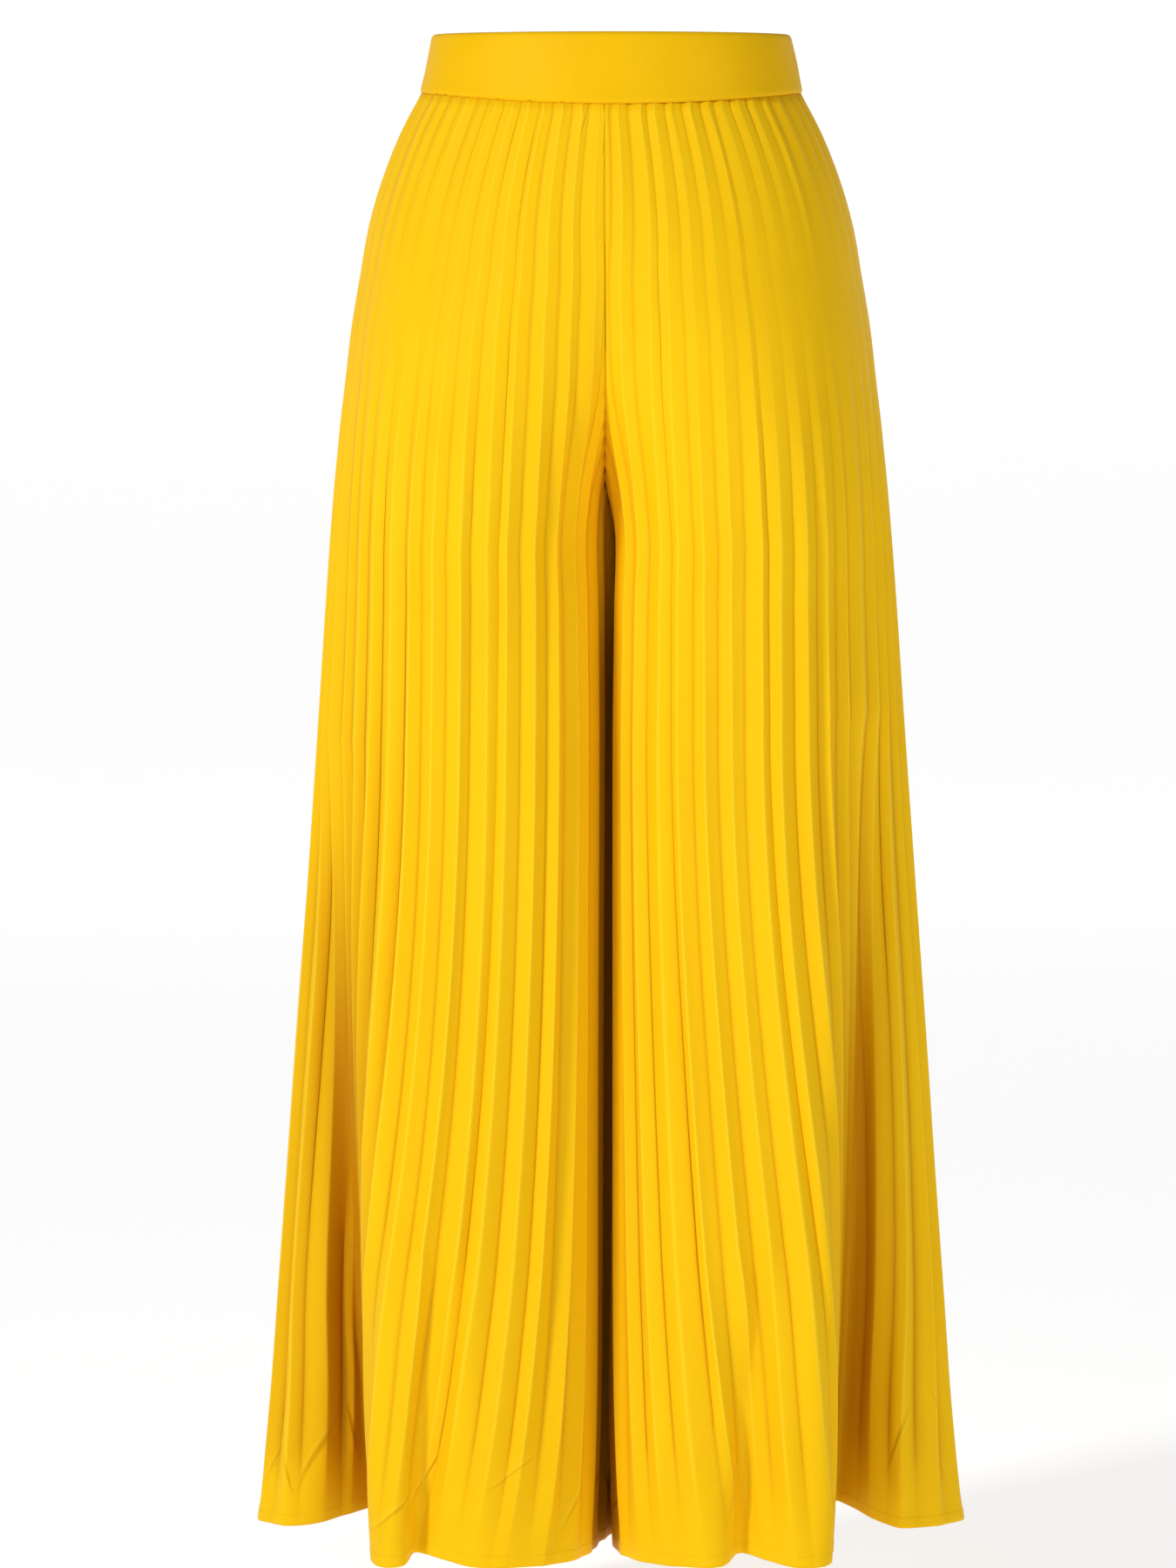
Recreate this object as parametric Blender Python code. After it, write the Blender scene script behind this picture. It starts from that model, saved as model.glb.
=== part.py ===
"""Pleated wide-leg trousers, filled out as if worn: a waistband and four leg panels.

Metres, +Z up, the front towards -Y. The origin is the middle of the waist, half way down
the band. Heights are given as a drop below it. Left and right are as seen from the front.
"""

from collections import namedtuple

import bmesh
import bpy
import numpy as np

LEFT, RIGHT = -1, 1
FRONT, BACK = -1, 1

CLOTH = 0.0012
BAND_CLOTH = 0.0020
SEAM_GAP = 0.0003

# the centre seam stands a little to the left, because the trousers are turned on the body
SEAM_X = -0.0048

BAND_TOP = 0.0178
BAND_LOW = 0.0202
BAND_DIP = 0.0080
DIP_ENDS = 0.15
BAND_STEPS = 40
BAND_COLUMNS = ("drop", "half_width", "half_depth")
BAND_ROWS = (
    (-BAND_TOP, 0.1208, 0.0905),
    (0.0000, 0.1245, 0.0935),
    (BAND_LOW, 0.1285, 0.0968),
)

# pleats of one panel, from its side seam to its inseam, and how much closer they are at the waist
PLEATS = 20
WAIST_CLOSER, RISE_CURVE = 0.32, 2.2

# One row for each height. half_width is the outline from the middle. inner is where the leg's
# ring turns round, measured from the centre seam: below nought it reaches past the seam, which
# cuts it. front and back are the half depths, and the round values are superellipse exponents.
Section = namedtuple(
    "Section", "drop half_width inner front back outer_round inner_round pleat_depth"
)
SECTIONS = (
    Section(0.0205, 0.1278, -0.1278, 0.0958, 0.0958, 2.00, 2.00, 0.0016),
    Section(0.0450, 0.1408, -0.1350, 0.1025, 0.1030, 2.00, 2.00, 0.0018),
    Section(0.0750, 0.1532, -0.1310, 0.1100, 0.1120, 2.00, 2.00, 0.0018),
    Section(0.1100, 0.1638, -0.1150, 0.1165, 0.1200, 2.00, 2.10, 0.0018),
    Section(0.1450, 0.1701, -0.0920, 0.1210, 0.1260, 2.00, 2.20, 0.0018),
    Section(0.1800, 0.1759, -0.0660, 0.1238, 0.1290, 2.00, 2.28, 0.0020),
    Section(0.2150, 0.1797, -0.0410, 0.1248, 0.1300, 1.98, 2.34, 0.0024),
    Section(0.2450, 0.1830, -0.0215, 0.1244, 0.1296, 1.95, 2.40, 0.0028),
    Section(0.2650, 0.1848, -0.0108, 0.1240, 0.1291, 1.92, 2.44, 0.0031),
    Section(0.2850, 0.1867, -0.0030, 0.1232, 0.1285, 1.89, 2.48, 0.0033),
    Section(0.3050, 0.1883, 0.0012, 0.1224, 0.1278, 1.86, 2.50, 0.0035),
    Section(0.3700, 0.1932, 0.0028, 0.1196, 0.1255, 1.77, 2.56, 0.0038),
    Section(0.4500, 0.1987, 0.0038, 0.1175, 0.1235, 1.70, 2.60, 0.0041),
    Section(0.5500, 0.2059, 0.0042, 0.1175, 0.1230, 1.70, 2.65, 0.0046),
    Section(0.6500, 0.2132, 0.0045, 0.1200, 0.1245, 1.78, 2.80, 0.0052),
    Section(0.7500, 0.2201, 0.0045, 0.1250, 0.1280, 1.88, 2.95, 0.0058),
    Section(0.8500, 0.2273, 0.0045, 0.1310, 0.1325, 1.98, 3.05, 0.0064),
    Section(0.9200, 0.2327, 0.0048, 0.1360, 0.1362, 2.00, 3.20, 0.0062),
    Section(0.9750, 0.2395, 0.0050, 0.1390, 0.1390, 2.00, 3.35, 0.0040),
    Section(1.0130, 0.2453, 0.0050, 0.1400, 0.1400, 2.00, 3.40, 0.0012),
)
TOP = SECTIONS[0].drop
CROTCH_ROW = 10
CROTCH = SECTIONS[CROTCH_ROW].drop
HEM = SECTIONS[-1].drop

# One row for each deep fold. across is its distance from the centre seam. It starts at the
# drop start and has its whole depth at the hem. lean tips it behind the lobe on its inner
# side, set_back is the share by which the cloth outside it lies further in, and lift is how
# much higher the hem is in it.
Fold = namedtuple("Fold", "leg face across start depth width lean set_back lift")
FOLDS = (
    Fold(LEFT, FRONT, 0.184, 0.46, 0.044, 0.017, 0.62, 0.60, 0.008),
    Fold(LEFT, FRONT, 0.112, 0.80, 0.026, 0.016, -0.60, 0.00, 0.006),
    Fold(RIGHT, FRONT, 0.177, 0.44, 0.048, 0.016, 0.38, 0.60, 0.013),
    Fold(RIGHT, FRONT, 0.104, 0.80, 0.024, 0.016, 0.50, 0.00, 0.006),
    Fold(LEFT, BACK, 0.174, 0.48, 0.040, 0.018, 0.55, 0.56, 0.008),
    Fold(LEFT, BACK, 0.078, 0.76, 0.028, 0.018, 0.40, 0.00, 0.006),
    Fold(RIGHT, BACK, 0.178, 0.46, 0.040, 0.018, 0.50, 0.56, 0.008),
    Fold(RIGHT, BACK, 0.092, 0.78, 0.026, 0.018, 0.40, 0.00, 0.006),
)
FOLD_GROWTH, TROUGH_GROWTH = 1.25, 0.65

# a fold fades out where the cloth lies nearer the side seam than this, front to back
FOLD_ROOM = 0.050

# pleats lose this share of their depth in the bottom of a fold, from this share of its length on
FOLD_CALM, CALM_FROM = 0.65, 0.50
SET_BACK_WIDTH, SET_BACK_FROM = 0.030, 0.010

# the hips stretch the pleats almost flat: where, how far around, how far up and down
HIP_PLEAT, HIP_SPREAD = 6.0, 4.5
HIP_DROP, HIP_HEIGHT = 0.160, 0.085
HIP_SMOOTH = 0.90

# the hem is a little higher at the sides
SIDE_LIFT = 0.0075
LIFT_FROM = 0.80

# the pleats stand deeper in the outer part of each leg, below the hips
DEEPER = {LEFT: 0.50, RIGHT: 0.20}
DEEPER_PLEAT, DEEPER_SPREAD = 4.0, 4.5
DEEPER_FROM, DEEPER_FADE = 0.38, 0.20

# pleats flatten where they run into the centre seam, down to a little below the crotch
SEAM_FLAT, SEAM_FLAT_TO, SEAM_FLAT_FADE = 0.012, 0.32, 0.15

# the inner sides of the legs bow the same way, so nothing shows through between them
BOW, BOW_FROM, BOW_FADE, BOW_DEPTH, BOW_WIDTH = 0.0150, 0.265, 0.065, 0.036, 0.035

# a pleat is made shallower where the plan turns sharply, averaged over this many samples
TURN_LIMIT = 0.20
TURN_SAMPLES = 31
SAMPLES = 1200
YELLOW = (0.90, 0.56, 0.008, 1.0)


def clear_scene():
    for thing in list(bpy.data.objects):
        bpy.data.objects.remove(thing, do_unlink=True)


def cloth_material(name, roughness):
    """Plain smooth yellow polyester."""
    material = bpy.data.materials.new(name)
    material.use_nodes = True
    surface = material.node_tree.nodes["Principled BSDF"]
    surface.inputs["Base Color"].default_value = YELLOW
    surface.inputs["Roughness"].default_value = roughness
    surface.inputs["Metallic"].default_value = 0.0
    return material


def smooth_step(value):
    value = np.clip(value, 0.0, 1.0)
    return value * value * (3.0 - 2.0 * value)


def ring(leg, face, section):
    """Half of a leg's plan outline, from the side seam round to the inseam.

    Its X is the distance from the centre seam, and its depth is in front of or behind the
    middle, always positive.
    """
    outer = section.half_width - leg * SEAM_X
    middle = (outer + section.inner) / 2
    half = (outer - section.inner) / 2
    depth = section.front if face == FRONT else section.back
    turn = np.linspace(0.0, np.pi, SAMPLES)
    power = np.where(turn < np.pi / 2, 2 / section.outer_round, 2 / section.inner_round)
    across = middle + half * np.sign(np.cos(turn)) * np.abs(np.cos(turn)) ** power
    out = depth * np.abs(np.sin(turn)) ** power
    return across, out


def folded(leg, face, section):
    """The ring with its deep folds pushed in, the lift of the hem and the share of the pleats'
    depth that is left in the folds.
    """
    across, out = ring(leg, face, section)
    way_down = smooth_step((section.drop - LIFT_FROM) / (HEM - LIFT_FROM))
    moved_across, moved_out = across.copy(), out.copy()
    lift, calm = np.zeros(len(across)), np.ones(len(across))
    for fold in FOLDS:
        if (fold.leg, fold.face) != (leg, face) or section.drop <= fold.start:
            continue
        share = (section.drop - fold.start) / (HEM - fold.start)
        grown, deeper = share**FOLD_GROWTH, share**TROUGH_GROWTH
        beyond = smooth_step((across - fold.across + SET_BACK_FROM) / SET_BACK_WIDTH + 0.5)
        trough = np.exp(-(((across - fold.across) / fold.width) ** 2))
        trough *= smooth_step(out / FOLD_ROOM)
        moved_out -= out * fold.set_back * grown * beyond
        moved_out -= fold.depth * deeper * trough
        moved_across -= fold.depth * fold.lean * grown * trough
        lift += way_down * (SIDE_LIFT * beyond * (fold.set_back > 0) + fold.lift * trough)
        calm *= 1 - FOLD_CALM * smooth_step(share / CALM_FROM) * trough
    return moved_across, moved_out, lift, calm


def pleat_wave(pleat):
    """-1 in each valley, at the whole numbers, and 1 on each ridge."""
    return 1.0 - 4.0 * np.abs(np.mod(pleat, 1.0) - 0.5)


def length_along(across, out):
    steps = np.hypot(np.diff(across), np.diff(out))
    return np.concatenate(([0.0], np.cumsum(steps)))


def pleat_pitch(leg, face, section):
    """Even round the leg below the crotch. Above it, closer up to the waist."""
    rise = max(0.0, (CROTCH - section.drop) / (CROTCH - TOP))
    full = section if rise == 0 else SECTIONS[CROTCH_ROW]
    across, out = folded(leg, face, full)[:2]
    return length_along(across, out)[-1] / PLEATS * (1 - WAIST_CLOSER * rise**RISE_CURVE)


def panel_row(leg, face, section, pleat):
    """World points of the outer and the inner side of one panel at one height."""
    across, out, lift, calm = folded(leg, face, section)
    along = length_along(across, out)
    pitch = pleat_pitch(leg, face, section)
    even = np.linspace(0.0, along[-1], SAMPLES)
    across, out, lift, calm = (
        np.interp(even, along, value) for value in (across, out, lift, calm)
    )
    tangent_x, tangent_y = np.gradient(across, even), np.gradient(out, even)
    length = np.hypot(tangent_x, tangent_y)
    normal_x, normal_y = tangent_y / length, -tangent_x / length
    bend = np.abs(np.gradient(np.unwrap(np.arctan2(tangent_y, tangent_x)), even))
    blur = np.ones(TURN_SAMPLES) / TURN_SAMPLES
    bend = np.convolve(np.pad(bend, TURN_SAMPLES // 2, mode="edge"), blur, mode="valid")

    place = np.clip(pleat * pitch, SEAM_GAP / 2, along[-1] - SEAM_GAP / 2)
    near_hip = np.exp(
        -(((pleat - HIP_PLEAT) / HIP_SPREAD) ** 2) - ((section.drop - HIP_DROP) / HIP_HEIGHT) ** 2
    )
    below = smooth_step((section.drop - DEEPER_FROM) / DEEPER_FADE)
    outer = np.exp(-(((pleat - DEEPER_PLEAT) / DEEPER_SPREAD) ** 2))
    depth = section.pleat_depth * (1 - HIP_SMOOTH * near_hip) * (1 + DEEPER[leg] * below * outer)
    from_seam = smooth_step(np.abs(np.interp(place, even, across)) / SEAM_FLAT)
    released = smooth_step((section.drop - SEAM_FLAT_TO) / SEAM_FLAT_FADE)
    depth = depth * (1 - (1 - released) * (1 - from_seam))
    depth = depth * np.interp(place, even, calm)
    depth = np.minimum(depth, TURN_LIMIT / np.maximum(np.interp(place, even, bend), 1.0))
    wave = pleat_wave(pleat) * depth / 2
    wall = CLOTH * np.hypot(1.0, depth / (pitch / 2))
    points = []
    for shift in (wave, wave - wall):
        x = np.interp(place, even, across) + np.interp(place, even, normal_x) * shift
        y = np.interp(place, even, out) + np.interp(place, even, normal_y) * shift
        points.append((SEAM_X + leg * x, face * y))
    return points, np.interp(place, even, lift)


def band_edge_dip(x, half_width):
    """How far the seam under the band lies below its ends."""
    return BAND_DIP * (1 - np.clip(np.abs(x) / half_width, 0, 1) ** 2)


def bowed(spot):
    """How far the inner sides of the legs lean to the right at a point."""
    down = smooth_step((-spot.z - BOW_FROM) / BOW_FADE)
    near = np.exp(-((spot.y / BOW_DEPTH) ** 2) - ((spot.x - SEAM_X) / BOW_WIDTH) ** 2)
    return BOW * float(down * near)


def leg_panel(name, leg, face, material):
    """One pleated panel: a grid laid on the rows, given its wall, and cut by the centre seam."""
    columns, rows = 2 * PLEATS, len(SECTIONS) - 1
    pleat = np.arange(columns + 1) / 2
    table = [panel_row(leg, face, section, pleat) for section in SECTIONS]

    mesh = bmesh.new()
    bmesh.ops.create_grid(mesh, x_segments=columns, y_segments=rows, size=0.5)
    outside = list(mesh.verts)
    wall = bmesh.ops.extrude_face_region(mesh, geom=mesh.faces[:], use_keep_orig=True)
    inside = [item for item in wall["geom"] if isinstance(item, bmesh.types.BMVert)]
    for side, vertices in enumerate((outside, inside)):
        for vertex in vertices:
            column = round((vertex.co.x + 0.5) * columns)
            row = round((vertex.co.y + 0.5) * rows)
            section = SECTIONS[row]
            points, lift = table[row]
            x, y = points[side][0][column], points[side][1][column]
            share = max(0.0, 1 - (section.drop - TOP) / DIP_ENDS)
            dip = band_edge_dip(x, SECTIONS[0].half_width) * share
            vertex.co = (x, y, lift[column] - section.drop - dip)
    bmesh.ops.recalc_face_normals(mesh, faces=mesh.faces)

    cut = SEAM_X + leg * SEAM_GAP / 2
    everything = mesh.verts[:] + mesh.edges[:] + mesh.faces[:]
    bmesh.ops.bisect_plane(
        mesh, geom=everything, dist=1e-6, plane_co=(cut, 0, 0), plane_no=(-leg, 0, 0),
        clear_outer=True,
    )
    rim = [edge for edge in mesh.edges if edge.is_boundary]
    bmesh.ops.holes_fill(mesh, edges=rim, sides=0)
    bmesh.ops.triangulate(mesh, faces=mesh.faces)
    bmesh.ops.recalc_face_normals(mesh, faces=mesh.faces)
    for vertex in mesh.verts:
        vertex.co.x += bowed(vertex.co)
    return add_object(name, mesh, material)


def waistband(name, face, material):
    """Half of the band: a plain double strip from side seam to side seam."""
    rows = [dict(zip(BAND_COLUMNS, row)) for row in BAND_ROWS]
    mesh = bmesh.new()
    bmesh.ops.create_grid(mesh, x_segments=BAND_STEPS, y_segments=len(rows) - 1, size=0.5)
    outside = list(mesh.verts)
    wall = bmesh.ops.extrude_face_region(mesh, geom=mesh.faces[:], use_keep_orig=True)
    inside = [item for item in wall["geom"] if isinstance(item, bmesh.types.BMVert)]
    for inset, vertices in ((0.0, outside), (BAND_CLOTH, inside)):
        for vertex in vertices:
            row = rows[round((vertex.co.y + 0.5) * (len(rows) - 1))]
            width, depth = row["half_width"] - inset, row["half_depth"] - inset
            end = SEAM_GAP / 2 / depth
            turn = end + (vertex.co.x + 0.5) * (np.pi - 2 * end)
            x = -width * np.cos(turn)
            dip = band_edge_dip(x, SECTIONS[0].half_width) if row is rows[-1] else 0.0
            vertex.co = (x, face * depth * np.sin(turn), -row["drop"] - dip)
    bmesh.ops.triangulate(mesh, faces=mesh.faces)
    bmesh.ops.recalc_face_normals(mesh, faces=mesh.faces)
    return add_object(name, mesh, material)


def add_object(name, mesh, material):
    data = bpy.data.meshes.new(name)
    mesh.to_mesh(data)
    mesh.free()
    data.materials.append(material)
    part = bpy.data.objects.new(name, data)
    bpy.context.collection.objects.link(part)
    return part


def build():
    clear_scene()
    for face, word in ((FRONT, "front"), (BACK, "back")):
        waistband("waistband_" + word, face, cloth_material("band_" + word, 0.55))
        for leg, side in ((LEFT, "left"), (RIGHT, "right")):
            name = side + "_" + word + "_leg"
            leg_panel(name, leg, face, cloth_material(name + "_cloth", 0.6))


build()
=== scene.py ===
"""Yellow pleated wide-leg trousers with a plain waistband, filled out as if worn.

Metres, +Z up, the front towards -Y. The origin is the middle of the waist, half way down
the band, and heights are given as a drop below it. Left and right are as seen in front.
"""

import math
from collections import namedtuple

import bmesh
import bpy
import numpy as np
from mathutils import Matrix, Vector


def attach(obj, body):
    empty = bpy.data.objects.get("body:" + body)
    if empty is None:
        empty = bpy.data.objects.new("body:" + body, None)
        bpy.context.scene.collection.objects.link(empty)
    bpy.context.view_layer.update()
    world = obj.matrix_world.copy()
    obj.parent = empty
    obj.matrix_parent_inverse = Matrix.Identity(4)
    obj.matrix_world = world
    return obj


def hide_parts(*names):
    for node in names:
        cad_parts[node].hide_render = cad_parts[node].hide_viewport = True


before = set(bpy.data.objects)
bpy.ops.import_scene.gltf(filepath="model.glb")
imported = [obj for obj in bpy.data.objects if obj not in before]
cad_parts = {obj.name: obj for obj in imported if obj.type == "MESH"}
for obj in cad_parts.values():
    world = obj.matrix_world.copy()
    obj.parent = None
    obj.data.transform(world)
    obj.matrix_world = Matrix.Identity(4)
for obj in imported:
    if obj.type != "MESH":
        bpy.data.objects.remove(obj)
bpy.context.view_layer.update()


# ---------------------------------------------------------------- camera
# The trousers are seen square from the front and from a little below the waist, far enough
# away that the hem at the front hangs only slightly lower in the view than at the sides.

EYE_AWAY = 4.5
EYE_X = -0.0159
EYE_Z = -0.10
AIM_Z = -0.494
LENS_MM = 150.57

camera = bpy.data.objects.new("camera", bpy.data.cameras.new("camera"))
bpy.context.collection.objects.link(camera)
camera.data.lens = LENS_MM
camera.data.clip_end = 60
camera.location = (EYE_X, -EYE_AWAY, EYE_Z)
look = Vector((EYE_X, 0, AIM_Z)) - camera.location
camera.rotation_euler = look.to_track_quat("-Z", "Y").to_euler()
bpy.context.scene.camera = camera


# ---------------------------------------------------------------- yellow polyester
# A smooth, opaque, finely knitted polyester with a faint sheen. The cloth is dyed right
# through. Shade is painted into its colour as a deeper, redder yellow where it is folded close
# against itself, in its grooves and creases and under the band, and highlights are painted
# onto the pleats' edges and beside the creases.


class Socket:
    """A shader value that can be used in arithmetic."""

    def __init__(self, tree, socket):
        self.tree, self.socket = tree, socket

    def add(self, kind, inputs=(), **settings):
        """Any node: its settings first, then its sockets by name or number."""
        node = self.tree.nodes.new(kind)
        for name, value in settings.items():
            setattr(node, name, value)
        for name, value in dict(inputs).items():
            if isinstance(value, Socket):
                self.tree.links.new(value.socket, node.inputs[name])
            else:
                node.inputs[name].default_value = value
        return node

    def out(self, node, name=0):
        return Socket(self.tree, node.outputs[name])

    def maths(self, operation, *values):
        node = self.add("ShaderNodeMath", dict(enumerate(values)), operation=operation)
        return self.out(node)

    def __add__(self, other):
        return self.maths("ADD", self, other)

    def __sub__(self, other):
        return self.maths("SUBTRACT", self, other)

    def __mul__(self, other):
        return self.maths("MULTIPLY", self, other)

    def __truediv__(self, other):
        return self.maths("DIVIDE", self, other)

    def __rsub__(self, other):
        return self.maths("SUBTRACT", other, self)

    __radd__ = __add__

    def absolute(self):
        return self.maths("ABSOLUTE", self)

    def sine(self):
        return self.maths("SINE", self)

    def clamp(self):
        return self.out(self.add("ShaderNodeClamp", {"Value": self}))

    def noise(self, scale, detail):
        """Soft noise, read at this place."""
        inputs = {"Vector": self, "Scale": scale, "Detail": detail}
        return self.out(self.add("ShaderNodeTexNoise", inputs))

    def mixed(self, first, second):
        """Two colours, mixed with this share of the second."""
        node = self.add("ShaderNodeMix", {0: self, 6: first, 7: second}, data_type="RGBA")
        return self.out(node, 2)


CLOTH_YELLOW = (0.930, 0.560, 0.004, 1)
CLOTH_DEEP = (0.895, 0.515, 0.002, 1)
# painted shade and painted highlight colours: a deeper yellow for the grooves, a deeper and redder
# one for folds, creases and the strip under the band, a lighter one for the pleats' edges
PAINTED_GROOVE_SHADE = (0.680, 0.310, 0.001, 1)
PAINTED_SHADE_YELLOW = (0.540, 0.225, 0.001, 1)
PAINTED_HIGHLIGHT_YELLOW = (0.960, 0.680, 0.030, 1)
CLOUD_SCALE, CLOUD_DETAIL, CLOUD_SHARE = 9.0, 3.0, 1.6
HEM, SEAM_LINE = 1.0130, 0.0225

# widths of the painted shade in the grooves and the painted highlight on the edges are shares of a
# pleat
GROOVE_WIDTH, GROOVE_SHARE = 0.16, 0.62
EDGE_WIDTH, EDGE_SHARE = 0.05, 0.48
HEM_PLAIN, HEM_FADE = 0.02, 0.06
BAND_SHADOW, BAND_SHADOW_FADE = 0.8, 0.0015

# how far from a crease its painted shade line and its painted highlight line lie, in widths of the
# crease
CREASE_DARK, CREASE_DARK_AT = 0.32, 0.5
CREASE_LIGHT, CREASE_LIGHT_AT = 0.35, -0.3
CREASE_NARROW, CREASE_FADE = 0.90, 5.0

KNIT_PITCH, KNIT_RELIEF, COURSES_PER_WALE = 0.0007, 0.00004, 1.3
CRUMPLE_SCALE, CRUMPLE_DETAIL, CRUMPLE_RELIEF = 60.0, 4.0, 0.0004
STITCH_LENGTH, STITCH_WIDTH, STITCH_DEPTH, STITCH_DIP = 0.0028, 0.0009, 0.00025, 0.00015
RELIEF_STRENGTH = 0.7
CLOTH_ROUGH, ROUGH_CHANGE, CLOTH_SHINE = 0.52, 0.12, 0.06
SHEEN, SHEEN_ROUGH, SHEEN_TINT = 0.03, 0.45, (1.0, 0.86, 0.35, 1)


def creased(across, up, pleat, crease):
    """The height of the cloth at one crease, and how much of its painted shade line and its
    painted highlight line.
    """
    slant = math.radians(crease.slant)
    side = (across - crease.pleat * pleat) * CREASE_NARROW
    down = (HEM - crease.drop) - up
    off = side * math.cos(slant) + down * math.sin(slant)
    far = down * math.cos(slant) - side * math.sin(slant)
    # full along its middle third, and fading to both ends
    near = (1.5 - far.absolute() * (3.0 / crease.length)).clamp()
    over = off / crease.width
    step = over.clamp() * (1.0 - over / CREASE_FADE).clamp()
    dark = (1.0 - ((over - CREASE_DARK_AT) * 2.0).absolute()).clamp()
    light = (1.0 - ((over - CREASE_LIGHT_AT) * 2.0).absolute()).clamp()
    return step * near * -crease.depth, dark * near, light * near


def polyester(name, yellow, shade, pleat=None, stitch_from_hem=None, creases=()):
    """The cloth. The UV map is in metres: across the cloth, and up from the lower edge.

    Where it is pleated, painted highlights lighten the pleats' edges and one side of each crease,
    and painted shade deepens the grooves, the other side of each crease, a strip under the band
    and what the mesh's folded attribute marks.
    """
    material = bpy.data.materials.new(name)
    material.use_nodes = True
    tree = material.node_tree
    surface = tree.nodes["Principled BSDF"]
    start = Socket(tree, None)
    place = start.out(start.add("ShaderNodeTexCoord"), "Object")
    uv = start.out(start.add("ShaderNodeUVMap", uv_map="cloth"))
    apart = start.add("ShaderNodeSeparateXYZ", {0: uv})
    across, up = start.out(apart, "X"), start.out(apart, "Y")

    cloudy = place.noise(CLOUD_SCALE, CLOUD_DETAIL)
    dye_and_painted_light = ((cloudy - 0.5) * CLOUD_SHARE + shade).clamp().mixed(yellow, CLOTH_DEEP)
    wales = (across * (2 * math.pi / KNIT_PITCH)).sine()
    courses = (up * (2 * math.pi / KNIT_PITCH * COURSES_PER_WALE)).sine()
    relief = (wales + courses) * (KNIT_RELIEF / 2)
    relief = relief + place.noise(CRUMPLE_SCALE, CRUMPLE_DETAIL) * CRUMPLE_RELIEF

    if pleat:
        # the folded attribute holds the share of painted shade where the cloth lies close against
        # itself
        marks = [start.add("ShaderNodeAttribute", attribute_name=n) for n in ("folded", "pressed")]
        painted_fold_shade, pressed = (start.out(mark, "Fac") for mark in marks)
        pressed = pressed * ((up - HEM_PLAIN) / HEM_FADE).clamp()
        from_edge = (across.maths("FRACT", across / pleat) - 0.5).absolute()
        groove_shade = ((from_edge - 0.5 + GROOVE_WIDTH) / GROOVE_WIDTH).clamp()
        edge = (1.0 - from_edge / EDGE_WIDTH).clamp()
        under_band = ((up - (HEM - SEAM_LINE)) / BAND_SHADOW_FADE).clamp()
        lines = zip(*(creased(across, up, pleat, crease) for crease in creases))
        bent, dark, light = (sum(line[1:], line[0]) for line in lines)
        relief = relief + bent
        # painted shade and painted highlights along the creases, in the grooves, on the pleats'
        # edges and where the cloth lies close against itself, and a painted shadow just under the
        # band
        for share, tone in (
            (dark.clamp() * CREASE_DARK, PAINTED_SHADE_YELLOW),
            (light.clamp() * CREASE_LIGHT, PAINTED_HIGHLIGHT_YELLOW),
            (groove_shade * groove_shade * pressed * GROOVE_SHARE, PAINTED_GROOVE_SHADE),
            (edge * pressed * EDGE_SHARE, PAINTED_HIGHLIGHT_YELLOW),
            (painted_fold_shade.clamp(), PAINTED_SHADE_YELLOW),
            (under_band * BAND_SHADOW, PAINTED_SHADE_YELLOW),
        ):
            dye_and_painted_light = share.mixed(dye_and_painted_light, tone)

    if stitch_from_hem:
        line = (1.0 - (up - stitch_from_hem).absolute() / STITCH_WIDTH).clamp()
        dash = (across * (2 * math.pi / STITCH_LENGTH)).sine()
        relief = relief - line * (STITCH_DEPTH + dash * STITCH_DIP)

    rough = cloudy * ROUGH_CHANGE + (CLOTH_ROUGH - ROUGH_CHANGE / 2)
    inputs = {"Height": relief, "Distance": 1.0, "Strength": RELIEF_STRENGTH}
    bump = start.out(start.add("ShaderNodeBump", inputs))
    for name, value in (("Base Color", dye_and_painted_light), ("Roughness", rough), ("Normal", bump)):
        tree.links.new(value.socket, surface.inputs[name])
    surface.inputs["Specular IOR Level"].default_value = CLOTH_SHINE
    surface.inputs["Sheen Weight"].default_value = SHEEN
    surface.inputs["Sheen Roughness"].default_value = SHEEN_ROUGH
    surface.inputs["Sheen Tint"].default_value = SHEEN_TINT
    return material


# ---------------------------------------------------------------- leg panels
# Four panels of polyester, front and back of each leg, heat-set in fine accordion pleats that
# fan out from the waist. They are sewn at the sides, down the rise and along the inseams, and
# hang from the band with a narrow stitched hem.

LEFT, RIGHT = -1, 1
FRONT, BACK = -1, 1
SEAM_X, SEAM_GAP = -0.0048, 0.0001
PLEATS = 20
PLEAT_CLOTH = 0.028
HEM_STITCH = 0.008
LEG_SHADE = 0.35
WAIST_CLOSER, RISE_CURVE = 0.32, 2.2

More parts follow.
